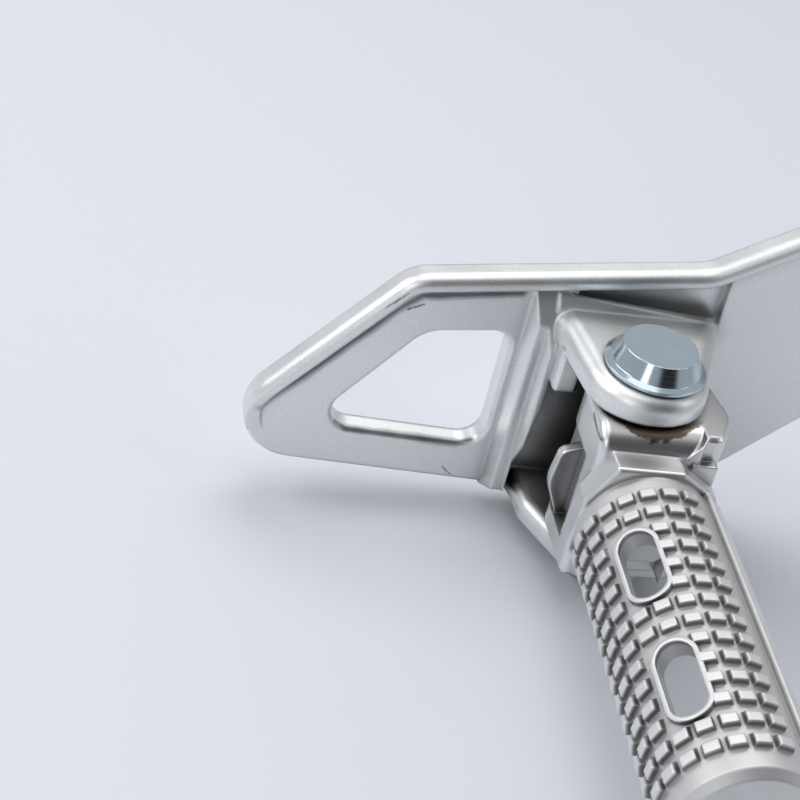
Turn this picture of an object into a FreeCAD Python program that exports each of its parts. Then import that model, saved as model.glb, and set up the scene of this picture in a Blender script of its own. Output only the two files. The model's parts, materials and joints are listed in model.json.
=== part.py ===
import FreeCAD, Part
import math
import os

Vector = FreeCAD.Vector

# Folding footrest on its cast bracket, in millimetres.
# The shapes are drawn about the pivot pin: X along the plate, Y from the rider's
# foot inboard to the machine, Z up the pin, zero height on top of the upper ear.
# They are moved to the bolt holes of the bracket only when they are written out.

# How far a tool that opens a face runs past it, and the shortest edge that is drawn
overrun = 1.0
shortest_edge = 0.001

# Pivot pin: a clevis pin with a coned head, held by a ring in a groove near its end
pin_radius = 5.0
pin_fit = 0.06
head_radius = 9.0
head_foot_break = 0.4
head_rim = 0.9
cone_radius = 8.0
cone_start = 1.45
head_height = 4.5
head_top_radius = 6.6
pin_chamfer = 1.2

# Retaining ring under the lower ear, an open ring with a round tab at each end
ring_thickness = 1.2
ring_play = 0.1
ring_outer_radius = 6.7
ring_opening = 50.0
ring_tab_radius = 1.5
ring_tab_out = 0.75
groove_depth = 0.5
groove_fit = 0.05
pin_tail = 2.6

# Clevis of the bracket: the upper and the lower ear
ear_thickness = 5.5
lower_ear_thickness = 4.6
clevis_gap = 32.0
ear_edge_round = 3.0
ear_edge_break = 0.7
ear_front = -10.4
ear_root = 20.0
ear_left_root = -14.8
ear_right_root = 18.5
upper_ear_corners = [
    (ear_left_root, ear_root, 0),
    (-10.4, ear_front, 10.6),
    (7.1, ear_front, 10.4),
    (ear_right_root, ear_root, 0),
]
lower_ear_front = -9.0
lower_ear_round = 2.2
lower_ear_corners = [
    (ear_left_root, ear_root, 0),
    (-13.2, 13.0, 6.0),
    (-12.9, 7.6, 4.0),
    (-5.2, lower_ear_front, 6.5),
    (7.65, lower_ear_front, 8.6),
    (ear_right_root, ear_root, 0),
]

# Plate of the bracket, with the window and the bead along its upper edge
plate_front = 17.5
plate_thickness = 4.0
plate_left = -76.0
arm_right = 59.5
arm_top = 38.8
plate_corners = [
    (plate_left, -38.4, 10.2),
    (16.1, -43.9, 5.0),
    (arm_right, -2.1, 9.0),
    (arm_right, arm_top, 9.0),
    (12.4, 9.6, 8.0),
    (-40.7, 2.6, 8.0),
]
plate_edge_break = 0.7
window_corners = [(-53.3, -31.3, 4.0), (-19.9, -33.4, 4.8), (-19.9, -7.2, 3.5), (-35.7, -9.0, 7.0)]
window_draft = 0.4
window_edge_break = 0.6
bead_width = 2.9
bead_rise = 1.5
bead_round = 2.1
bead_foot_break = 0.35
bead_back = 3.0
bead_fade_start = -24.0
bead_fade_end = -33.5
bead_tip_length = 21.0
bead_tip_right = plate_left + bead_tip_length
bead_reach = [
    (plate_left - overrun, bead_fade_end),
    (bead_tip_right, bead_fade_end),
    (-36.0, -6.0),
    (14.0, -2.0),
    (44.0, 22.0),
    (38.0, 45.0),
    (plate_left - overrun, 45.0),
]

# Groove behind the upper ear, between its top and the bead
relief_start = 17.2
relief_end = 19.5
relief_left = -10.4
relief_right = 17.0
relief_bottom = -1.6
relief_top = 12.0
relief_corners = [
    (relief_left, relief_bottom, 0),
    (relief_right, relief_bottom, 0),
    (relief_right, relief_top, 3.0),
    (relief_left, relief_top, 0),
]

# Lip in front of that groove, highest where it meets the rib and running out to the right
lip_left = -14.0
lip_right = 15.5
lip_front = 15.4
lip_rise = 2.4

# Stepped rib at the left of the clevis, seen from above, and the slopes of its two ends.
# Its right corner is cut back at the bottom, where the mouth of the clevis widens
rib_profile = [(-18.6, 18.0), (-17.1, 14.2), (-15.3, 14.2), (-14.3, 11.8), (-13.0, 11.8), (-11.6, 18.0)]
rib_front = 11.0
rib_back = 18.0
rib_top = 3.5
rib_top_slope = 12.5
rib_bottom_slope = 2.8
mouth_top = (-12.9, -19.0)
mouth_corner = (-14.9, -33.0)

# Lug under the upper ear that ends the folding, and the pad that ends the opening
lug_box = (-13.4, 8.0, -12.9, -9.0, 18.5, -4.0)
lug_break = 0.6
stop_gap = 0.3
stop_left = 4.6
stop_right = 14.0
stop_bottom = -31.0
stop_top = -11.0

# Bolt holes at the upper end of the arm, and the pads behind them
bolt_edge = 9.0
bolt_middle = 12.2
bolt_spacing = 20.0
bolt_hole_radius = 4.25
bolt_pad_radius = 9.0
bolt_pad_rise = 2.5

# Knuckle of the footpeg, seen from above. Its crown rolls down to the collar, and a
# flat lobe with a ledge below it stands at the right
side_play = 0.3
knuckle_left = -10.0
knuckle_front = -12.6
knuckle_back = 13.0
knuckle_swing = 9.9
lobe_front = -11.4
knuckle_corners = [
    (knuckle_left, knuckle_front, 0),
    (8.0, knuckle_front, 0),
    (8.8, lobe_front, 0),
    (11.9, lobe_front, 2.5),
    (15.2, -4.8, 8.0),
    (12.0, knuckle_back, 0),
    (5.0, knuckle_back, 1.5),
    (3.4, knuckle_swing, 0),
    (knuckle_left, knuckle_swing, knuckle_swing),
]
knuckle_break = 0.7
crown_roll = 5.0
crown_right = 8.7
crown_lean = 4.0
crown_edge_round = 1.6
lobe_break = 0.7
ledge_box = (7.0, -13.2, -16.0, 11.4, -9.0, -10.5)
waist_box = (-20.0, -7.5, -33.0, -7.8, 12.0, -14.4)

# Fin cast on the left of the knuckle
fin_corners = [(-6.0, -37.2, 0), (-7.6, -37.0, 1.0), (-12.4, -26.6, 7.0), (-11.6, -19.4, 1.8), (-6.0, -17.5, 0)]
fin_front = -0.6
fin_thickness = 2.0

# Faceted collar between the knuckle and the grip, about the axis of the footpeg
peg_axis_height = -22.1
collar_corners = [
    (-11.7, 5.4), (-7.6, 12.8), (4.3, 12.6), (11.3, 7.8), (13.6, 2.3),
    (12.0, -5.2), (6.0, -12.6), (-6.0, -12.8), (-12.3, -5.2),
]
neck_corners = [
    (-9.6, 5.0), (-7.6, 15.4), (5.6, 15.6), (10.8, 13.0), (12.0, 2.0),
    (11.2, -9.0), (5.6, -14.8), (-6.6, -14.8), (-9.6, -7.0),
]
neck_start = -9.0
collar_start = -12.6
collar_end = -17.3
collar_round = 0.7

# Grip: an arched channel, open below, turned about its own axis so the tread faces up
tread_turn = -43.0
grip_radius = 11.9
grip_wall = 2.7
grip_skirt = 4.2
grip_end = -83.5
grip_end_wall = 2.6
grip_end_break = 1.4
rail_width = 13.2
rail_top = 0.4
hollow_start = -21.0
recess_lap = 0.5
recess_box = (-3.0, hollow_start - recess_lap, -40.0, 6.5, -13.0, -25.8)

# Tread blocks in rows along the grip and columns around it. They narrow toward the top,
# most of all on the inboard side, which is the gentle one
tread_radius = 13.0
block_columns = 8
block_rows = 14
column_angle = 17.4
row_pitch = 4.25
first_row = -21.85
block_length = 2.9
block_width = 3.2
block_root = 11.3
block_side_draft = 0.35
block_front_draft = 0.15
block_back_draft = 0.9

# Slots on the crown of the tread, each with a raised lip, in place of the two middle
# columns of blocks over a few rows
slot_half_width = 3.15
slot_length = 15.0
slot_lip = 0.8
slot_turn = 4.5
slot_count = 2
first_slot = -30.2
slot_first_row = 2
slot_row_count = 4
slot_row_step = 6
slot_half_columns = 1

bolt_x = arm_right - bolt_edge
plate_back = plate_front + plate_thickness
mount_face = plate_back + bolt_pad_rise
lower_ear_top = -ear_thickness - clevis_gap
lower_ear_bottom = lower_ear_top - lower_ear_thickness
rib_bottom = lower_ear_bottom
groove_top = lower_ear_bottom - ring_play
groove_bottom = groove_top - ring_thickness - groove_fit
groove_radius = pin_radius - groove_depth
pin_end = groove_bottom - pin_tail
slot_starts = [first_slot - i * slot_row_step * row_pitch for i in range(slot_count)]
to_mount = Vector(-bolt_x, -mount_face, -bolt_middle)


def in_front(level):
    """Places outline points (x, z) on an upright plane at the depth given."""
    return lambda u, v: Vector(u, level, v)


def in_plan(level):
    """Places outline points (x, y) on a level plane at the height given."""
    return lambda u, v: Vector(u, v, level)


def in_side(level):
    """Places outline points (y, z) on an upright plane across the plate at the X given."""
    return lambda u, v: Vector(level, u, v)


def rounded_wire(corners, place):
    """A closed outline through corners (u, v, radius), each turned by an arc of its radius."""
    count = len(corners)
    turns = []
    for i in range(count):
        here = Vector(corners[i][0], corners[i][1], 0)
        last = Vector(corners[i - 1][0], corners[i - 1][1], 0)
        following = Vector(corners[(i + 1) % count][0], corners[(i + 1) % count][1], 0)
        radius = corners[i][2]
        to_last = (last - here).normalize()
        to_following = (following - here).normalize()
        half = to_last.getAngle(to_following) / 2
        reach = radius / math.tan(half)
        bisector = (to_last + to_following).normalize()
        middle = here + bisector * (radius / math.sin(half) - radius)
        turns.append((here + to_last * reach, middle, here + to_following * reach, radius))
    edges = []
    for i in range(count):
        start, middle, end, radius = turns[i]
        points = [place(p.x, p.y) for p in (start, middle, end)]
        if radius > 0:
            edges.append(Part.Arc(*points).toShape())
        after = turns[(i + 1) % count][0]
        if (after - end).Length > shortest_edge:
            edges.append(Part.makeLine(points[2], place(after.x, after.y)))
    return Part.Wire(edges)


def prism(corners, place, along):
    return Part.Face(rounded_wire(corners, place)).extrude(along)


def sharp(points):
    return [(u, v, 0) for u, v in points]


def cylinder(radius, start, along):
    return Part.makeCylinder(radius, along.Length, start, along)


def box(x0, y0, z0, x1, y1, z1):
    return Part.makeBox(x1 - x0, y1 - y0, z1 - z0, Vector(x0, y0, z0))


def edges_on(shape, axis, level):
    """Edges that lie wholly on the plane where the named coordinate equals the level."""
    found = []
    for edge in shape.Edges:
        ends = edge.BoundBox
        low = getattr(ends, axis + "Min")
        high = getattr(ends, axis + "Max")
        if abs(low - level) < shortest_edge and abs(high - level) < shortest_edge:
            found.append(edge)
    return found


def edges_along(shape, outline):
    """Edges of the shape that lie on an outline."""
    found = []
    for edge in shape.Edges:
        points = edge.discretize(3)
        if max(Part.Vertex(point).distToShape(outline)[0] for point in points) < shortest_edge:
            found.append(edge)
    return found


def make_plate():
    plate = prism(plate_corners, in_front(plate_front), Vector(0, plate_thickness, 0))
    rims = edges_on(plate, "Y", plate_front) + edges_on(plate, "Y", plate_back)
    plate = plate.makeChamfer(plate_edge_break, rims)
    front = rounded_wire(window_corners, in_front(plate_front))
    back = front.makeOffset2D(-window_draft)
    back.translate(Vector(0, plate_thickness, 0))
    window = Part.makeLoft([front, back], True, True)
    plate = plate.cut(window)
    return plate.makeChamfer(window_edge_break, edges_along(plate, front))


def make_bead():
    """Bead along the upper edge of the plate, fully rounded outside, with a steep inner side."""
    front = plate_front - bead_rise
    depth = Vector(0, bead_rise + bead_back, 0)
    outer = rounded_wire(plate_corners, in_front(front))
    inner = outer.makeOffset2D(-bead_width)
    band = Part.Face(outer).extrude(depth).cut(Part.Face(inner).extrude(depth))
    reach = prism(sharp(bead_reach), in_front(front - overrun), depth + Vector(0, 2 * overrun, 0))
    band = band.common(reach)
    band = band.makeFillet(bead_round, edges_along(band, outer))
    band = band.makeChamfer(bead_foot_break, edges_along(band, inner))
    fade = [
        (front - overrun, bead_fade_end - overrun),
        (plate_front, bead_fade_end - overrun),
        (plate_front, bead_fade_end),
        (front, bead_fade_start),
        (front - overrun, bead_fade_start),
    ]
    return band.cut(prism(sharp(fade), in_side(plate_left), Vector(bead_tip_right - plate_left, 0, 0)))


def make_upper_ear():
    ear = prism(upper_ear_corners, in_plan(-ear_thickness), Vector(0, 0, ear_thickness))
    ear = ear.makeFillet(ear_edge_round, edges_on(ear, "Z", 0))
    return ear.makeChamfer(ear_edge_break, edges_on(ear, "Z", -ear_thickness))


def make_lower_ear():
    ear = prism(lower_ear_corners, in_plan(lower_ear_bottom), Vector(0, 0, lower_ear_thickness))
    ear = ear.makeFillet(lower_ear_round, edges_on(ear, "Z", lower_ear_top))
    return ear.makeChamfer(ear_edge_break, edges_on(ear, "Z", lower_ear_bottom))


def make_lip():
    """Sloping lip along the back of the upper ear, from the rib to the right."""
    foot = [(lip_front, -overrun), (lip_front, 0), (relief_start, lip_rise), (relief_start, -overrun)]
    lip = prism(sharp(foot), in_side(lip_left), Vector(lip_right - lip_left, 0, 0))
    run_out = [(lip_left, -overrun), (lip_left, lip_rise), (lip_right, 0), (lip_right, -overrun)]
    return lip.common(prism(sharp(run_out), in_front(lip_front), Vector(0, relief_start - lip_front, 0)))


def make_rib():
    rib = prism(sharp(rib_profile), in_plan(rib_bottom), Vector(0, 0, rib_top - rib_bottom))
    left = rib_profile[0][0] - overrun
    right = rib_profile[-1][0] + overrun
    side = [
        (rib_back, rib_bottom),
        (rib_front, rib_bottom + rib_bottom_slope),
        (rib_front, rib_top - rib_top_slope),
        (rib_back, rib_top),
    ]
    rib = rib.common(prism(sharp(side), in_side(left), Vector(right - left, 0, 0)))
    mouth = [
        mouth_top,
        mouth_corner,
        (mouth_corner[0], rib_bottom - overrun),
        (right, rib_bottom - overrun),
        (right, mouth_top[1]),
    ]
    return rib.cut(prism(sharp(mouth), in_front(rib_front), Vector(0, rib_back - rib_front, 0)))


def make_lug():
    lug = box(*lug_box)
    below_ear = [edge for edge in lug.Edges if edge.BoundBox.ZMin < lug.BoundBox.ZMax]
    return lug.makeChamfer(lug_break, below_ear)


def add_bolt_hole(body, side):
    """Adds the pad behind one bolt hole and drills it, at the side given of the middle."""
    height = bolt_middle + side * bolt_spacing / 2
    pad_start = Vector(bolt_x, plate_back - overrun, height)
    pad = cylinder(bolt_pad_radius, pad_start, Vector(0, bolt_pad_rise + overrun, 0))
    hole_start = Vector(bolt_x, plate_front - overrun, height)
    hole = cylinder(bolt_hole_radius, hole_start, Vector(0, mount_face - plate_front + 2 * overrun, 0))
    return body.fuse(pad).cut(hole)


def make_bracket():
    ears = [make_upper_ear(), make_lower_ear()]
    stop = box(stop_left, knuckle_back + stop_gap, stop_bottom, stop_right, plate_front + overrun, stop_top)
    relief = prism(relief_corners, in_front(relief_start), Vector(0, relief_end - relief_start, 0))
    body = make_plate().multiFuse(ears + [make_lug(), stop]).cut(relief)
    body = body.multiFuse([make_bead(), make_rib(), make_lip()])
    bore_start = Vector(0, 0, lower_ear_bottom - overrun)
    body = body.cut(cylinder(pin_radius + pin_fit, bore_start, Vector(0, 0, 2 * overrun - lower_ear_bottom)))
    for side in (-1, 1):
        body = add_bolt_hole(body, side)
    return body.removeSplitter()


def crown_tool(top):
    """What is cut off the front of the knuckle to roll its crown down to the collar."""
    level = top - crown_roll
    axis = Vector(knuckle_left - overrun, knuckle_front + crown_roll, level)
    along = Vector(crown_right - knuckle_left + overrun, 0, 0)
    block = box(axis.x, knuckle_front - overrun, level, crown_right, axis.y, top + overrun)
    corner = block.cut(cylinder(crown_roll, axis, along))
    lean = [
        (axis.x, level),
        (crown_right - crown_lean, level),
        (crown_right, top),
        (crown_right, top + overrun),
        (axis.x, top + overrun),
    ]
    depth = Vector(0, axis.y - knuckle_front + overrun, 0)
    return corner.common(prism(sharp(lean), in_front(knuckle_front - overrun), depth))


def make_knuckle():
    top = -ear_thickness - side_play
    bottom = lower_ear_top + side_play
    knuckle = prism(knuckle_corners, in_plan(bottom), Vector(0, 0, top - bottom))
    knuckle = knuckle.makeChamfer(knuckle_break, edges_on(knuckle, "Z", bottom))
    knuckle = knuckle.cut(crown_tool(top))
    lobe_edges = [edge for edge in edges_on(knuckle, "Z", top) if edge.BoundBox.XMin > crown_right]
    knuckle = knuckle.makeChamfer(lobe_break, lobe_edges)
    left_edges = edges_on(knuckle, "X", knuckle_left)
    crown_edges = [edge for edge in left_edges if edge.BoundBox.ZMin > top - crown_roll - overrun]
    knuckle = knuckle.makeFillet(crown_edge_round, crown_edges)
    fin = prism(fin_corners, in_front(fin_front), Vector(0, fin_thickness, 0))
    return knuckle.cut(box(*waist_box)).multiFuse([fin, box(*ledge_box)])


def facet_ring(points, depth):
    return rounded_wire([(u, v + peg_axis_height, 0) for u, v in points], in_front(depth))


def make_collar():
    """Faceted collar and the sloping neck that leads from it to the knuckle."""
    length = Vector(0, collar_start - collar_end, 0)
    collar = Part.Face(facet_ring(collar_corners, collar_end)).extrude(length)
    collar = collar.makeFillet(collar_round, edges_on(collar, "Y", collar_end))
    rings = [facet_ring(collar_corners, collar_start), facet_ring(neck_corners, neck_start)]
    return collar.fuse(Part.makeLoft(rings, True, True))


def slot_prism(start, margin):
    """A round-ended slot from the axis out through the tread, larger all round by the margin."""
    half = slot_half_width + margin
    near = start + margin
    far = start - slot_length - margin
    corners = [(-half, near, half), (half, near, half), (half, far, half), (-half, far, half)]
    slot = prism(corners, in_plan(0), Vector(0, 0, tread_radius + overrun))
    slot.rotate(Vector(0, 0, 0), Vector(0, 1, 0), slot_turn)
    return slot


def make_block(depth):
    """One tread block on the crown of the grip, with its middle at the depth given."""
    half = block_width / 2
    top_half = half - block_side_draft
    near = depth + block_length / 2
    far = depth - block_length / 2
    lying = (-half, block_root, -near, block_back_draft - near, -top_half)
    opposite = (half, tread_radius, -far, -block_front_draft - far, top_half)
    block = Part.makeWedge(*lying, *opposite)
    block.rotate(Vector(0, 0, 0), Vector(1, 0, 0), 90)
    return block


def make_tread_blocks():
    blocks = []
    middle = (block_columns - 1) / 2
    for row in range(block_rows):
        depth = first_row - row * row_pitch
        slotted = (row - slot_first_row) % slot_row_step < slot_row_count
        for column in range(block_columns):
            if slotted and abs(column - middle) < slot_half_columns:
                continue
            block = make_block(depth)
            block.rotate(Vector(0, 0, 0), Vector(0, 1, 0), (column - middle) * column_angle)
            blocks.append(block)
    return blocks


def make_grip():
    """Arched grip with its tread, drawn with the crown up and its axis along Y."""
    start = collar_end + overrun
    along = Vector(0, start - grip_end, 0)
    arch = cylinder(grip_radius, Vector(0, grip_end, 0), along)
    arch = arch.common(box(-rail_width, grip_end, -grip_skirt, rail_width, start, grip_radius))
    grip = arch.fuse(box(-rail_width, grip_end, -grip_skirt, rail_width, start, rail_top)).removeSplitter()
    grip = grip.makeChamfer(grip_end_break, edges_on(grip, "Y", grip_end))
    lips = []
    limit = cylinder(tread_radius, Vector(0, grip_end, 0), along)
    for slot_start in slot_starts:
        lips.append(slot_prism(slot_start, slot_lip).common(limit))
    grip = grip.multiFuse(lips + make_tread_blocks())
    inner = grip_radius - grip_wall
    hollow_end = grip_end + grip_end_wall
    hollow = cylinder(inner, Vector(0, hollow_end, 0), Vector(0, hollow_start - hollow_end, 0))
    hollow = hollow.fuse(box(-inner, hollow_end, -grip_skirt - overrun, inner, hollow_start, 0))
    grip = grip.cut(hollow)
    for slot_start in slot_starts:
        grip = grip.cut(slot_prism(slot_start, 0))
    grip.rotate(Vector(0, 0, 0), Vector(0, 1, 0), tread_turn)
    grip.translate(Vector(0, 0, peg_axis_height))
    return grip


def make_footpeg():
    peg = make_knuckle().multiFuse([make_collar(), make_grip()]).cut(box(*recess_box))
    bore_start = Vector(0, 0, lower_ear_top - overrun)
    bore = cylinder(pin_radius + pin_fit, bore_start, Vector(0, 0, clevis_gap + 2 * overrun))
    return peg.cut(bore).removeSplitter()


def make_pivot_pin():
    profile = [
        (0, pin_end),
        (pin_radius - pin_chamfer, pin_end),
        (pin_radius, pin_end + pin_chamfer),
        (pin_radius, groove_bottom),
        (groove_radius, groove_bottom),
        (groove_radius, groove_top),
        (pin_radius, groove_top),
        (pin_radius, 0),
        (head_radius - head_foot_break, 0),
        (head_radius, head_foot_break),
        (head_radius, head_rim),
        (cone_radius, cone_start),
        (head_top_radius, head_height),
        (0, head_height),
    ]
    face = Part.Face(rounded_wire(sharp(profile), in_front(0)))
    return face.revolve(Vector(0, 0, 0), Vector(0, 0, 1), 360)


def make_retaining_ring():
    """Open ring in the groove of the pin, its opening toward the plate, with a tab at each end."""
    low = Vector(0, 0, groove_top - ring_thickness)
    up = Vector(0, 0, ring_thickness)
    inner = groove_radius + groove_fit
    middle = (inner + ring_outer_radius) / 2
    ring = cylinder(ring_outer_radius, low, up)
    half = math.radians(ring_opening / 2)
    reach = 2 * ring_outer_radius
    gap = [(0, 0), (-reach * math.tan(half), reach), (reach * math.tan(half), reach)]
    ring = ring.cut(prism(sharp(gap), in_plan(low.z), up))
    for side in (-1, 1):
        turn = half + ring_tab_radius / middle
        centre = low + Vector(side * math.sin(turn), math.cos(turn), 0) * (middle + ring_tab_out)
        ring = ring.fuse(cylinder(ring_tab_radius, centre, up))
    return ring.cut(cylinder(inner, low, up)).removeSplitter()


os.makedirs("parts", exist_ok=True)
nodes = {
    "bracket": make_bracket(),
    "footpeg": make_footpeg(),
    "pivot_pin": make_pivot_pin(),
    "retaining_ring": make_retaining_ring(),
}
for name, shape in nodes.items():
    shape.translate(to_mount)
    shape.exportStep("parts/" + name + ".step")
    print(name, "solids", len(shape.Solids), "volume", round(shape.Volume), "valid", shape.isValid())
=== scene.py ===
# %% [markdown]
# A folding footrest on its cast bracket, dressed for a studio picture.
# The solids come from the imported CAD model, which is the fixed frame of this scene.
# Every length below is in metres, in the frame of the CAD: the origin lies between
# the two bolt holes, and the pivot pin stands upright.

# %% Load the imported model
import json
import math

import bmesh
import bpy
from mathutils import Matrix, Vector


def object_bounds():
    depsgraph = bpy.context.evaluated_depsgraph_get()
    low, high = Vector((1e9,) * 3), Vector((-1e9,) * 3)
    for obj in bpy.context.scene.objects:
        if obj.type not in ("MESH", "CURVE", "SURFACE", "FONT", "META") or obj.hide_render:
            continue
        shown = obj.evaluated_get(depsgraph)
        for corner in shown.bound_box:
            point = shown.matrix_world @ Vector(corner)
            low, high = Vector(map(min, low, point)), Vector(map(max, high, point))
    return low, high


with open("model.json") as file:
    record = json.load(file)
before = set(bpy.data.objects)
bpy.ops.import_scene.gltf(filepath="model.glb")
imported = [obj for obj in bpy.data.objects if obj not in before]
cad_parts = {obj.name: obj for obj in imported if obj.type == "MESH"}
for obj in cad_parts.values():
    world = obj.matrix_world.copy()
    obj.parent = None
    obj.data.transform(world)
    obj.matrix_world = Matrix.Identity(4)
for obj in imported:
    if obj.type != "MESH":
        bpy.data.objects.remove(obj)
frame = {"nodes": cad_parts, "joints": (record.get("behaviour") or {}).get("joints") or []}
cad_low, cad_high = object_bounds()
MM = 0.001
print("nodes", sorted(frame["nodes"]), "box", tuple(round(v, 4) for v in cad_high - cad_low))

# %% [markdown]
# The joint gives the place of the pivot pin, and several finishes below are laid out
# around it. Reading it from the record keeps them right if the CAD moves.

# %% Find the pivot
pivot = Vector(frame["joints"][0]["pos_m"])
print("pivot at", tuple(round(v, 4) for v in pivot))

# %% [markdown]
# The picture was taken from above and a little to the left of the footpeg, with a long
# lens and with the object leaning in the frame. A camera is fully described by where it
# stands and by three directions: its right, its up and the way back from the object.
# Turning by azimuth, elevation and roll gives these three, so no target is needed.

# %% Place the camera
CAMERA_PLACE = Vector((-0.17133, -0.29094, 0.17121))
CAMERA_AZIMUTH = math.radians(-16.35)
CAMERA_ELEVATION = math.radians(35.02)
CAMERA_ROLL = math.radians(-14.5)
LENS_MM = 90
SENSOR_MM = 36
NEAREST_SEEN = 10 * MM

back = Vector((
    math.sin(CAMERA_AZIMUTH) * math.cos(CAMERA_ELEVATION),
    -math.cos(CAMERA_AZIMUTH) * math.cos(CAMERA_ELEVATION),
    math.sin(CAMERA_ELEVATION),
))
level_right = Vector((math.cos(CAMERA_AZIMUTH), math.sin(CAMERA_AZIMUTH), 0))
level_up = back.cross(level_right)
right = level_right * math.cos(CAMERA_ROLL) - level_up * math.sin(CAMERA_ROLL)
up = level_right * math.sin(CAMERA_ROLL) + level_up * math.cos(CAMERA_ROLL)

lens = bpy.data.cameras.new("studio_camera")
lens.lens = LENS_MM
lens.sensor_width = SENSOR_MM
lens.clip_start = NEAREST_SEEN
camera = bpy.data.objects.new("studio_camera", lens)
turn = Matrix((right, up, back)).transposed().to_4x4()
camera.matrix_world = Matrix.Translation(CAMERA_PLACE) @ turn
bpy.context.scene.collection.objects.link(camera)
bpy.context.scene.camera = camera
print("camera stands", round((CAMERA_PLACE - pivot).length, 3), "m from the pivot")

# %% [markdown]
# Colours are written as sRGB hex values, as a colour picker shows them, and one function
# turns them to the linear values that the shaders work with. A second small function adds
# a node, sets it and links it, so that a material reads as a list of steps.

# %% Colour and node helpers
bpy.context.scene.view_settings.view_transform = "Standard"


def linear(hex_colour):
    """The linear RGBA of an sRGB hex colour."""
    parts = [int(hex_colour[i:i + 2], 16) / 255 for i in (1, 3, 5)]
    return [p / 12.92 if p <= 0.04045 else ((p + 0.055) / 1.055) ** 2.4 for p in parts] + [1.0]


def add(tree, kind, values=None, **settings):
    """Adds a node. Values go to its inputs by name or number: a socket is linked, the rest is set."""
    node = tree.nodes.new("ShaderNode" + kind)
    for name, value in settings.items():
        setattr(node, name, value)
    for name, value in (values or {}).items():
        if isinstance(value, bpy.types.NodeSocket):
            tree.links.new(value, node.inputs[name])
        else:
            node.inputs[name].default_value = value
    return node


def new_material(name):
    """An empty material and its node tree."""
    material = bpy.data.materials.new(name)
    material.use_nodes = True
    material.node_tree.nodes.clear()
    return material, material.node_tree


print("mid grey is", [round(c, 3) for c in linear("#808080")])

# %% [markdown]
# The object lies on a white table under soft light. The table is one wide sheet, so that
# no edge shows behind the object from any side. Its paint is a cool white and quite matt.

# %% Lay the floor
FLOOR_DROP = 0.4 * MM
FLOOR_RADIUS = 3.0
FLOOR_SIDES = 96
FLOOR_ROUGHNESS = 0.6

floor_height = cad_low.z - FLOOR_DROP
floor_mesh = bpy.data.meshes.new("floor")
sheet = bmesh.new()
bmesh.ops.create_circle(sheet, cap_ends=True, segments=FLOOR_SIDES, radius=FLOOR_RADIUS)
bmesh.ops.translate(sheet, verts=sheet.verts, vec=(pivot.x, pivot.y, floor_height))
sheet.to_mesh(floor_mesh)
sheet.free()
floor = bpy.data.objects.new("floor", floor_mesh)
bpy.context.scene.collection.objects.link(floor)

table_white, tree = new_material("table_white_paint")
paint = add(tree, "BsdfPrincipled", {"Base Color": linear("#E1E4EB"), "Roughness": FLOOR_ROUGHNESS})
add(tree, "OutputMaterial", {"Surface": paint.outputs["BSDF"]})
floor_mesh.materials.append(table_white)
print("floor at z", round(floor_height, 4))

# %% [markdown]
# Satin metal shows its surroundings, so the room matters as much as the lamps. The room is
# a tent of white cloth, a little brighter behind the object than in front of it. One upright
# dark patch at the front right stands for the opening where the photographer works. It gives
# the dark bands on the coned pin head and along rounded edges.

# %% Light the room
ROOM_COLOUR = linear("#F4F6FA")
FRONT_STRENGTH = 0.46
BACK_STRENGTH = 0.62
PATCH_STRENGTH = 0.03
PATCH_DIRECTION = Vector((0.33, -0.85, 0.38)).normalized()
PATCH_STRETCH = 0.55    # heights are shrunk by this, so the round patch becomes upright
PATCH_EDGE = math.cos(math.radians(32))
PATCH_CORE = math.cos(math.radians(20))

world = bpy.data.worlds.new("studio_room")
bpy.context.scene.world = world
world.use_nodes = True
tree = world.node_tree
tree.nodes.clear()
direction = add(tree, "TexCoord").outputs["Generated"]
depth = add(tree, "SeparateXYZ", {0: direction})
cloth = add(tree, "MapRange", {"Value": depth.outputs["Y"], "From Min": -1.0, "From Max": 1.0,
                               "To Min": FRONT_STRENGTH, "To Max": BACK_STRENGTH})
flatter = add(tree, "VectorMath", {0: direction, 1: (1.0, 1.0, PATCH_STRETCH)}, operation="MULTIPLY")
unit = add(tree, "VectorMath", {0: flatter.outputs["Vector"]}, operation="NORMALIZE")
toward = add(tree, "VectorMath", {0: unit.outputs["Vector"], 1: PATCH_DIRECTION},
             operation="DOT_PRODUCT")
strength = add(tree, "MapRange", {"Value": toward.outputs["Value"],
                                  "From Min": PATCH_EDGE, "From Max": PATCH_CORE,
                                  "To Min": cloth.outputs["Result"], "To Max": PATCH_STRENGTH},
               interpolation_type="SMOOTHSTEP")
room = add(tree, "Background", {"Color": ROOM_COLOUR, "Strength": strength.outputs["Result"]})
add(tree, "OutputWorld", {"Surface": room.outputs["Background"]})
print("room strength", FRONT_STRENGTH, "to", BACK_STRENGTH, "and", PATCH_STRENGTH, "in the dark patch")

# %% [markdown]
# Five lamps stand in the tent. One hangs overhead and lights every upper face, and one behind
# it shines over the plate onto the upper ear. A small one at the front left lights the plate
# and draws the bright band on the pin's cone. The widest, at the left, rolls a highlight over
# the left edges and throws the shadow to the right. A narrow strip at the right draws one
# fine line on the pin head. Each row gives the place from the pivot, the size and the watts.

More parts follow.
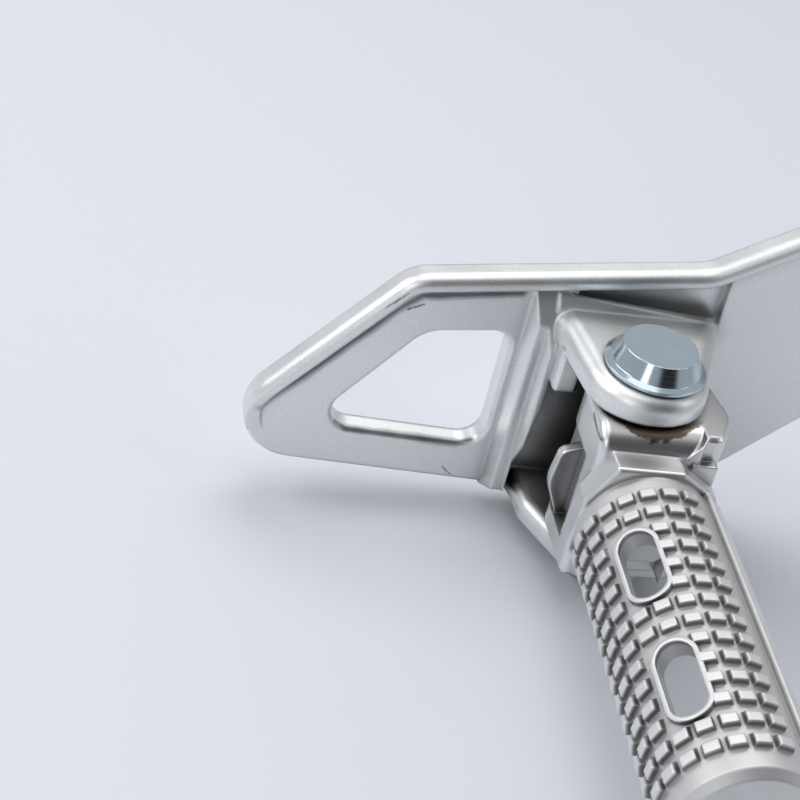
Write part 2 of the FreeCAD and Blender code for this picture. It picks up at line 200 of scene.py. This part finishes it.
# %% Hang the lamps
LAMPS = {
    "overhead_softbox": ((-0.12, -0.06, 0.85), (0.60, 0.50), 1.0),
    "back_softbox": ((0.10, 0.36, 0.72), (0.60, 0.34), 1.4),
    "front_softbox": ((-0.44, -0.62, 0.38), (0.18, 0.34), 0.6),
    "left_softbox": ((-0.66, 0.12, 0.52), (0.70, 0.34), 2.3),
    "right_strip": ((0.67, -0.17, 0.48), (0.05, 0.30), 0.25),
}
for name, (place, size, watts) in LAMPS.items():
    lamp = bpy.data.lights.new(name, "AREA")
    lamp.shape = "RECTANGLE"
    lamp.size, lamp.size_y = size
    lamp.energy = watts
    softbox = bpy.data.objects.new(name, lamp)
    softbox.location = pivot + Vector(place)
    softbox.rotation_euler = (-Vector(place)).to_track_quat("-Z", "Y").to_euler()
    bpy.context.scene.collection.objects.link(softbox)
print("lamps", {name: watts for name, (place, size, watts) in LAMPS.items()})

# %% [markdown]
# The bracket is die-cast aluminium, tumbled until it has a soft shine. Up close such a
# surface is nearly smooth, and its tone is a little uneven. One noise at the size of the
# casting's waves shifts the bright grey, and one at the size of its grain frosts it.

# %% Bracket: bare metal
CAST_WAVE = 12 * MM
CAST_GRAIN = 0.5 * MM    # the real grain is finer than a pixel, so it is drawn larger
FROST_AMOUNT = 0.20
NOISE_LOW, NOISE_HIGH = 0.3, 0.7    # most of a noise texture lies between these

cast_aluminium, tree = new_material("tumbled_cast_aluminium")
place = add(tree, "TexCoord").outputs["Object"]
wave = add(tree, "TexNoise", {"Vector": place, "Scale": 1 / CAST_WAVE, "Detail": 2.0})
grain = add(tree, "TexNoise", {"Vector": place, "Scale": 1 / CAST_GRAIN, "Detail": 1.0})
body = add(tree, "Mix", {"Factor": wave.outputs[0], 6: linear("#EAEBEB"), 7: linear("#F4F5F5")},
           data_type="RGBA")
frost = add(tree, "MapRange", {"Value": grain.outputs[0], "From Min": NOISE_LOW,
                               "From Max": NOISE_HIGH, "To Min": 0.0, "To Max": FROST_AMOUNT})
frosted = add(tree, "Mix", {"Factor": frost.outputs["Result"], 6: body.outputs[2],
                            7: linear("#BDBFC0")}, data_type="RGBA")
print(cast_aluminium.name, "starts with", len(tree.nodes), "nodes")

# %% [markdown]
# Corners are painted with shade: a grey mix where the surface is closed in. The pocket inside
# the clevis is painted with darker shade as well, but only below the upper ear. The Ambient
# Occlusion node tells how closed in a point is: a short reach finds the corners, and a long
# one finds the pocket.

# %% Bracket: painted shade in corners and pocket
RAY_SAMPLES = 8
CORNER_REACH = 3.5 * MM
CORNER_SHADE_CLOSED, CORNER_SHADE_OPEN, CORNER_SHADE_AMOUNT = 0.76, 0.96, 0.25
POCKET_REACH = 14 * MM
POCKET_SHADE_CLOSED, POCKET_SHADE_OPEN, POCKET_SHADE_AMOUNT = 0.25, 0.65, 0.95
POCKET_SHADE_TOP = -16 * MM
POCKET_SHADE_FADE = 8 * MM

# Painted shade: corners are mixed toward dark grey where the short reach finds them closed in.
corner = add(tree, "AmbientOcclusion", {"Distance": CORNER_REACH}, samples=RAY_SAMPLES)
corner_shade = add(tree, "MapRange", {"Value": corner.outputs["AO"], "From Min": CORNER_SHADE_CLOSED,
                              "From Max": CORNER_SHADE_OPEN, "To Min": CORNER_SHADE_AMOUNT, "To Max": 0.0})
skin = add(tree, "Mix", {"Factor": corner_shade.outputs["Result"], 6: frosted.outputs[2],
                         7: linear("#484B4C")}, data_type="RGBA")
# Painted shade: the closed-in pocket is mixed toward near black, only below the upper ear.
pocket = add(tree, "AmbientOcclusion", {"Distance": POCKET_REACH}, samples=RAY_SAMPLES)
pocket_shade = add(tree, "MapRange", {"Value": pocket.outputs["AO"], "From Min": POCKET_SHADE_CLOSED,
                               "From Max": POCKET_SHADE_OPEN, "To Min": POCKET_SHADE_AMOUNT, "To Max": 0.0})
height = add(tree, "SeparateXYZ", {0: place})
below = add(tree, "MapRange", {"Value": height.outputs["Z"], "From Min": POCKET_SHADE_TOP,
                               "From Max": POCKET_SHADE_TOP - POCKET_SHADE_FADE})
low_pocket_shade = add(tree, "Math", {0: pocket_shade.outputs["Result"], 1: below.outputs["Result"]},
           operation="MULTIPLY")
pocket_shaded = add(tree, "Mix", {"Factor": low_pocket_shade.outputs[0], 6: skin.outputs[2], 7: linear("#3C3C39")},
            data_type="RGBA")
print("grime below z", POCKET_SHADE_TOP)

# %% [markdown]
# Handling leaves small marks: a few scratches on the rim, a chip beside it and a rubbed spot
# on the plate. Dark lines of painted shade run along the foot of the bead and on the lower
# edge of the window. Each is drawn as straight lines on the surface. The distance from a point
# of the metal to a line, worked out with vector nodes, makes a mask that stays in its place
# on the piece, and noise breaks its edge. The footpeg uses the same function further down.

# %% Bracket: scratches and painted edge shade
LINE_CORE = 1.0     # these three are in half widths of the line
LINE_EDGE = 2.2
LINE_BREAK = 2.0    # noise lies around a half, so it adds about one half width


def line_mask(tree, place, rough_edge, lines):
    """1 on any of the lines, each given by its two ends and its half width in millimetres, else 0."""
    found = None
    for start, end, half_mm in lines:
        half = half_mm * MM
        along = (Vector(end) - Vector(start)) * MM
        offset = add(tree, "VectorMath", {0: place, 1: Vector(start) * MM}, operation="SUBTRACT")
        share = add(tree, "VectorMath", {0: offset.outputs["Vector"], 1: along / along.length_squared},
                    operation="DOT_PRODUCT")
        held = add(tree, "Clamp", {"Value": share.outputs["Value"]})
        nearest = add(tree, "VectorMath", {0: along, "Scale": held.outputs["Result"]}, operation="SCALE")
        away = add(tree, "VectorMath", {0: offset.outputs["Vector"], 1: nearest.outputs["Vector"]},
                   operation="DISTANCE")
        uneven = add(tree, "Math", {0: rough_edge, 1: LINE_BREAK * half, 2: away.outputs["Value"]},
                     operation="MULTIPLY_ADD")
        line = add(tree, "MapRange", {"Value": uneven.outputs[0], "From Min": LINE_CORE * half,
                                      "From Max": LINE_EDGE * half, "To Min": 1.0, "To Max": 0.0})
        if found is not None:
            line = add(tree, "Math", {0: found, 1: line.outputs[0]}, operation="MAXIMUM")
        found = line.outputs[0]
    return found


BRACKET_MARKS = [
    ((-95.0, -7.9, -16.0), (-91.6, -7.9, -12.6), 0.16),
    ((-93.9, -7.9, -15.3), (-92.2, -7.9, -13.4), 0.10),
    ((-90.6, -6.5, -16.7), (-88.0, -6.5, -15.4), 0.28),
    ((-76.7, -6.5, -51.0), (-75.6, -6.5, -52.0), 0.22),
    ((-75.2, -6.5, -52.3), (-74.7, -6.5, -52.6), 0.18),
]
# Lines of painted shade along the foot of the bead and the lower edge of the window.
SHADE_LINES = [
    ((-113.0, -6.6, -40.2), (-91.9, -6.5, -16.6), 1.0),
    ((-91.9, -6.5, -16.6), (-88.6, -6.5, -13.6), 1.0),
    ((-88.6, -6.5, -13.6), (-71.0, -6.5, -11.1), 0.9),
    ((-98.6, -5.9, -42.8), (-96.6, -5.9, -44.1), 0.7),
    ((-96.6, -5.9, -44.1), (-75.4, -5.9, -45.4), 0.9),
    ((-75.4, -5.9, -45.4), (-72.6, -5.9, -44.6), 0.7),
]
# Painted shade is mixed in along these lines.
edge_shade = line_mask(tree, place, wave.outputs[0], SHADE_LINES)
edge_shaded = add(tree, "Mix", {"Factor": edge_shade, 6: pocket_shaded.outputs[2], 7: linear("#6C7072")},
             data_type="RGBA")
marks = line_mask(tree, place, grain.outputs[0], BRACKET_MARKS)
marked = add(tree, "Mix", {"Factor": marks, 6: edge_shaded.outputs[2], 7: linear("#6A6C6E")},
             data_type="RGBA")
print("marks on the bracket", len(BRACKET_MARKS), "and lines of paste", len(SHADE_LINES))

# %% [markdown]
# Tumbling stones round every edge a little and leave a satin surface, so reflections are
# blurred. The Bevel node rounds the edges for the light alone, a very slight bump adds the
# grain, and the roughness drifts with the casting's waves.

# %% Bracket: surface
CAST_EDGE = 0.9 * MM
CAST_SHINE_LOW, CAST_SHINE_HIGH = 0.36, 0.44
CAST_RELIEF, CAST_RELIEF_SHARE = 0.01 * MM, 0.1

shine = add(tree, "MapRange", {"Value": wave.outputs[0], "From Min": NOISE_LOW, "From Max": NOISE_HIGH,
                               "To Min": CAST_SHINE_LOW, "To Max": CAST_SHINE_HIGH})
rounded = add(tree, "Bevel", {"Radius": CAST_EDGE}, samples=RAY_SAMPLES)
relief = add(tree, "Bump", {"Height": grain.outputs[0], "Strength": CAST_RELIEF_SHARE,
                            "Distance": CAST_RELIEF, "Normal": rounded.outputs["Normal"]})
metal = add(tree, "BsdfPrincipled", {"Base Color": marked.outputs[2], "Metallic": 1.0,
                                     "Roughness": shine.outputs["Result"],
                                     "Normal": relief.outputs["Normal"]})
add(tree, "OutputMaterial", {"Surface": metal.outputs["BSDF"]})
print(cast_aluminium.name, "with", len(tree.nodes), "nodes")

# %% [markdown]
# The footpeg is cast in the same metal and blasted with fine grit, so it is duller and a
# little warmer. The tops of the tread blocks keep the bare tone, the gaps between them are
# mixed a little darker, and their walls carry painted shade. The distance from the axis of
# the grip tells tops, walls and gaps apart, and a limit along the axis keeps both off the knuckle.

# %% Footpeg: bare metal and tread
BLAST_GRAIN = 0.35 * MM
BLAST_WAVE = 6 * MM
GRIP_AXIS = Vector((pivot.x, 0, -34.3 * MM))
GRIP_START = pivot.y - 17.3 * MM
GRIP_BLEND = 0.5 * MM
BLOCK_FOOT, BLOCK_TOP = 11.9 * MM, 13.0 * MM
WALL_FOOT_BLEND, WALL_TOP_BLEND = 0.4 * MM, 0.5 * MM
GAP_DARKENING = 0.2
WALL_SHADE_AMOUNT = 0.62

peg_aluminium, tree = new_material("blasted_cast_aluminium")
place = add(tree, "TexCoord").outputs["Object"]
along = add(tree, "SeparateXYZ", {0: place})
wave = add(tree, "TexNoise", {"Vector": place, "Scale": 1 / BLAST_WAVE, "Detail": 2.0})
grain = add(tree, "TexNoise", {"Vector": place, "Scale": 1 / BLAST_GRAIN, "Detail": 1.0})
body = add(tree, "Mix", {"Factor": wave.outputs[0], 6: linear("#DEDEDE"), 7: linear("#E9E9E9")},
           data_type="RGBA")
across = add(tree, "VectorMath", {0: place, 1: (1.0, 0.0, 1.0)}, operation="MULTIPLY")
out = add(tree, "VectorMath", {0: across.outputs["Vector"], 1: GRIP_AXIS}, operation="DISTANCE")
on_grip = add(tree, "MapRange", {"Value": along.outputs["Y"], "From Min": GRIP_START + GRIP_BLEND,
                                 "From Max": GRIP_START - GRIP_BLEND})
# The gaps between the blocks are mixed a little darker, less so up the walls.
between = add(tree, "MapRange", {"Value": out.outputs["Value"], "From Min": BLOCK_FOOT,
                                 "From Max": BLOCK_TOP, "To Min": GAP_DARKENING, "To Max": 0.0})
gap_darkening = add(tree, "Math", {0: between.outputs["Result"], 1: on_grip.outputs["Result"]},
           operation="MULTIPLY")
gap_darkened = add(tree, "Mix", {"Factor": gap_darkening.outputs[0], 6: body.outputs[2], 7: linear("#8E8B88")},
            data_type="RGBA")
# Painted shade on the walls of the tread blocks.
above_foot = add(tree, "MapRange", {"Value": out.outputs["Value"], "From Min": BLOCK_FOOT,
                                    "From Max": BLOCK_FOOT + WALL_FOOT_BLEND})
under_top = add(tree, "MapRange", {"Value": out.outputs["Value"],
                                   "From Min": BLOCK_TOP - WALL_TOP_BLEND, "From Max": BLOCK_TOP,
                                   "To Min": WALL_SHADE_AMOUNT, "To Max": 0.0})
wall = add(tree, "Math", {0: above_foot.outputs["Result"], 1: under_top.outputs["Result"]},
           operation="MULTIPLY")
wall_shade = add(tree, "Math", {0: wall.outputs[0], 1: on_grip.outputs["Result"]}, operation="MULTIPLY")
wall_shaded = add(tree, "Mix", {"Factor": wall_shade.outputs[0], 6: gap_darkened.outputs[2], 7: linear("#525050")},
            data_type="RGBA")
print(peg_aluminium.name, "tread walls from", BLOCK_FOOT, "to", BLOCK_TOP)

# %% [markdown]
# As on the bracket, corners are painted with shade, and the closed-in sides of the knuckle low
# down are painted darker. On the rougher blasted surface the corner shade reaches less far and is
# stronger.

# %% Footpeg: painted shade in corners and under the knuckle
PEG_CORNER_REACH = 2.0 * MM
PEG_CORNER_SHADE_CLOSED, PEG_CORNER_SHADE_OPEN, PEG_CORNER_SHADE_AMOUNT = 0.30, 0.85, 0.6
PEG_POCKET_SHADE_CLOSED, PEG_POCKET_SHADE_OPEN, PEG_POCKET_SHADE_AMOUNT = 0.25, 0.6, 0.85
PEG_POCKET_SHADE_TOP = POCKET_SHADE_TOP - 4 * MM

# Painted shade in the footpeg's corners.
corner = add(tree, "AmbientOcclusion", {"Distance": PEG_CORNER_REACH}, samples=RAY_SAMPLES)
corner_shade = add(tree, "MapRange", {"Value": corner.outputs["AO"], "From Min": PEG_CORNER_SHADE_CLOSED,
                              "From Max": PEG_CORNER_SHADE_OPEN, "To Min": PEG_CORNER_SHADE_AMOUNT, "To Max": 0.0})
skin = add(tree, "Mix", {"Factor": corner_shade.outputs["Result"], 6: wall_shaded.outputs[2],
                         7: linear("#4E4C4A")}, data_type="RGBA")
# Painted shade on the closed-in sides of the knuckle, low down.
pocket = add(tree, "AmbientOcclusion", {"Distance": POCKET_REACH}, samples=RAY_SAMPLES)
pocket_shade = add(tree, "MapRange", {"Value": pocket.outputs["AO"], "From Min": PEG_POCKET_SHADE_CLOSED,
                               "From Max": PEG_POCKET_SHADE_OPEN, "To Min": PEG_POCKET_SHADE_AMOUNT, "To Max": 0.0})
below = add(tree, "MapRange", {"Value": along.outputs["Z"], "From Min": PEG_POCKET_SHADE_TOP,
                               "From Max": PEG_POCKET_SHADE_TOP - POCKET_SHADE_FADE})
low_pocket_shade = add(tree, "Math", {0: pocket_shade.outputs["Result"], 1: below.outputs["Result"]},
           operation="MULTIPLY")
pocket_shaded = add(tree, "Mix", {"Factor": low_pocket_shade.outputs[0], 6: skin.outputs[2], 7: linear("#3C3C39")},
            data_type="RGBA")
print("grime below z", PEG_POCKET_SHADE_TOP)

# %% [markdown]
# Grease from the pivot has crept out at the front of the crown, under the ear, and dried
# brown with a ragged edge. Its edge is a circle around the pin that noise breaks up, kept to
# the front and to the top of the knuckle. A dark crease beside it is drawn with two lines.

# %% Footpeg: grease and crease
GREASE_REACH = 11.3 * MM
GREASE_BREAK = 1.8 * MM
GREASE_TOOTH = 1.3 * MM
GREASE_INNER, GREASE_OUTER = GREASE_REACH - 1.1 * MM, GREASE_REACH - 0.8 * MM
GREASE_LOW = -22 * MM
GREASE_LOW_BLEND = 2 * MM
GREASE_FRONT = pivot.y - 6 * MM
GREASE_FRONT_BLEND = 2.5 * MM
GREASE_AMOUNT = 0.9
PEG_MARKS = [
    ((-60.5, -29.1, -19.6), (-60.5, -32.1, -20.1), 0.5),
    ((-60.5, -32.1, -20.1), (-60.2, -35.0, -20.3), 0.4),
]

flat = add(tree, "VectorMath", {0: place, 1: (1.0, 1.0, 0.0)}, operation="MULTIPLY")
reach = add(tree, "VectorMath", {0: flat.outputs["Vector"], 1: (pivot.x, pivot.y, 0.0)},
            operation="DISTANCE")
teeth = add(tree, "TexNoise", {"Vector": place, "Scale": 1 / GREASE_TOOTH, "Detail": 3.0})
crept = add(tree, "Math", {0: teeth.outputs[0], 1: -GREASE_BREAK, 2: reach.outputs["Value"]},
            operation="MULTIPLY_ADD")
greasy = add(tree, "MapRange", {"Value": crept.outputs[0], "From Min": GREASE_INNER,
                                "From Max": GREASE_OUTER, "To Min": GREASE_AMOUNT, "To Max": 0.0})
upper = add(tree, "MapRange", {"Value": along.outputs["Z"], "From Min": GREASE_LOW,
                               "From Max": GREASE_LOW + GREASE_LOW_BLEND})
fore = add(tree, "MapRange", {"Value": along.outputs["Y"], "From Min": GREASE_FRONT,
                              "From Max": GREASE_FRONT - GREASE_FRONT_BLEND})
upper_fore = add(tree, "Math", {0: upper.outputs["Result"], 1: fore.outputs["Result"]},
                 operation="MULTIPLY")
grease = add(tree, "Math", {0: greasy.outputs["Result"], 1: upper_fore.outputs[0]},
             operation="MULTIPLY")
stained = add(tree, "Mix", {"Factor": grease.outputs[0], 6: pocket_shaded.outputs[2], 7: linear("#5E4C2E")},
              data_type="RGBA")
marks = line_mask(tree, place, grain.outputs[0], PEG_MARKS)
marked = add(tree, "Mix", {"Factor": marks, 6: stained.outputs[2], 7: linear("#4C4844")},
             data_type="RGBA")
print("grease reaches", GREASE_REACH, "from the pin's axis")

# %% [markdown]
# Handling has smoothed the knuckle, and the grip kept its blasted roughness. The blasting
# grit also rounded the edges, less than tumbling did on the bracket.

# %% Footpeg: surface
KNUCKLE_SHINE, GRIP_SHINE = 0.32, 0.54
BLAST_EDGE = 0.6 * MM
BLAST_RELIEF, BLAST_RELIEF_SHARE = 0.012 * MM, 0.2

shine = add(tree, "MapRange", {"Value": on_grip.outputs["Result"], "To Min": KNUCKLE_SHINE,
                               "To Max": GRIP_SHINE})
rounded = add(tree, "Bevel", {"Radius": BLAST_EDGE}, samples=RAY_SAMPLES)
relief = add(tree, "Bump", {"Height": grain.outputs[0], "Strength": BLAST_RELIEF_SHARE,
                            "Distance": BLAST_RELIEF, "Normal": rounded.outputs["Normal"]})
metal = add(tree, "BsdfPrincipled", {"Base Color": marked.outputs[2], "Metallic": 1.0,
                                     "Roughness": shine.outputs["Result"],
                                     "Normal": relief.outputs["Normal"]})
add(tree, "OutputMaterial", {"Surface": metal.outputs["BSDF"]})
print(peg_aluminium.name, "with", len(tree.nodes), "nodes")

# %% [markdown]
# The pin is turned from steel and plated with bright zinc, which gives a blue-grey mirror.
# The tool left fine rings around its axis. A wave texture in rings, centred on the pin by a
# Mapping node, roughens the plating a little from ring to ring.

# %% Finish the pivot pin
TURNING_STEP = 0.35 * MM    # the real step is about a third of this, too fine to show
WAVE_LENGTH = 0.314         # of a wave texture whose scale is 1
TURNING_WOBBLE = 0.6
ZINC_CLOUD = 4 * MM
PIN_CORNER_REACH = 1.0 * MM
PIN_CORNER_SHADE_CLOSED, PIN_CORNER_SHADE_OPEN, PIN_CORNER_SHADE_AMOUNT = 0.3, 0.7, 0.8
PIN_SHINE_LOW, PIN_SHINE_HIGH = 0.13, 0.19
PIN_EDGE = 0.25 * MM

zinc_steel, tree = new_material("bright_zinc_plated_steel")
place = add(tree, "TexCoord").outputs["Object"]
centred = add(tree, "Mapping", {"Vector": place, "Location": -pivot})
rings = add(tree, "TexWave", {"Vector": centred.outputs["Vector"], "Scale": WAVE_LENGTH / TURNING_STEP,
                              "Distortion": TURNING_WOBBLE}, wave_type="RINGS", rings_direction="Z")
cloud = add(tree, "TexNoise", {"Vector": place, "Scale": 1 / ZINC_CLOUD, "Detail": 2.0})
body = add(tree, "Mix", {"Factor": cloud.outputs[0], 6: linear("#BACAD5"), 7: linear("#CAD6DE")},
           data_type="RGBA")
# Painted shade: the pin's corners are mixed toward dark grey by a short Ambient Occlusion reach.
corner = add(tree, "AmbientOcclusion", {"Distance": PIN_CORNER_REACH}, samples=RAY_SAMPLES)
corner_shade = add(tree, "MapRange", {"Value": corner.outputs["AO"], "From Min": PIN_CORNER_SHADE_CLOSED,
                              "From Max": PIN_CORNER_SHADE_OPEN, "To Min": PIN_CORNER_SHADE_AMOUNT, "To Max": 0.0})
skin = add(tree, "Mix", {"Factor": corner_shade.outputs["Result"], 6: body.outputs[2], 7: linear("#3A3D3E")},
           data_type="RGBA")
shine = add(tree, "MapRange", {"Value": rings.outputs["Fac"], "To Min": PIN_SHINE_LOW,
                               "To Max": PIN_SHINE_HIGH})
rounded = add(tree, "Bevel", {"Radius": PIN_EDGE}, samples=RAY_SAMPLES)
metal = add(tree, "BsdfPrincipled", {"Base Color": skin.outputs[2], "Metallic": 1.0,
                                     "Roughness": shine.outputs["Result"],
                                     "Normal": rounded.outputs["Normal"]})
add(tree, "OutputMaterial", {"Surface": metal.outputs["BSDF"]})
print(zinc_steel.name, "with", len(tree.nodes), "nodes")

# %% [markdown]
# The retaining ring is spring steel, hardened in oil. That leaves a thin dark skin with a
# brown tint, which wears to grey where the ring was handled. Noise at the size of such worn
# spots mixes the two tones and makes the bare spots shinier.

# %% Finish the retaining ring
WORN_SPOT = 1.5 * MM
WORN_FROM, WORN_FULL = 0.45, 0.62
DARK_SHINE, BARE_SHINE = 0.42, 0.28
RING_EDGE = 0.1 * MM

spring_steel, tree = new_material("oil_hardened_spring_steel")
place = add(tree, "TexCoord").outputs["Object"]
spots = add(tree, "TexNoise", {"Vector": place, "Scale": 1 / WORN_SPOT, "Detail": 3.0})
worn = add(tree, "MapRange", {"Value": spots.outputs[0], "From Min": WORN_FROM, "From Max": WORN_FULL})
skin = add(tree, "Mix", {"Factor": worn.outputs["Result"], 6: linear("#4A4541"), 7: linear("#7C7A78")},
           data_type="RGBA")
shine = add(tree, "MapRange", {"Value": worn.outputs["Result"], "To Min": DARK_SHINE,
                               "To Max": BARE_SHINE})
rounded = add(tree, "Bevel", {"Radius": RING_EDGE}, samples=RAY_SAMPLES)
metal = add(tree, "BsdfPrincipled", {"Base Color": skin.outputs[2], "Metallic": 1.0,
                                     "Roughness": shine.outputs["Result"],
                                     "Normal": rounded.outputs["Normal"]})
add(tree, "OutputMaterial", {"Surface": metal.outputs["BSDF"]})
print(spring_steel.name, "with", len(tree.nodes), "nodes")

# %% [markdown]
# Each solid of the CAD model takes its finish. The solids themselves stay as they are.

# %% Assign the finishes
FINISHES = {
    "bracket": cast_aluminium,
    "footpeg": peg_aluminium,
    "pivot_pin": zinc_steel,
    "retaining_ring": spring_steel,
}
for node, material in FINISHES.items():
    mesh = frame["nodes"][node].data
    mesh.materials.clear()
    mesh.materials.append(material)
    print(node, "takes", material.name)
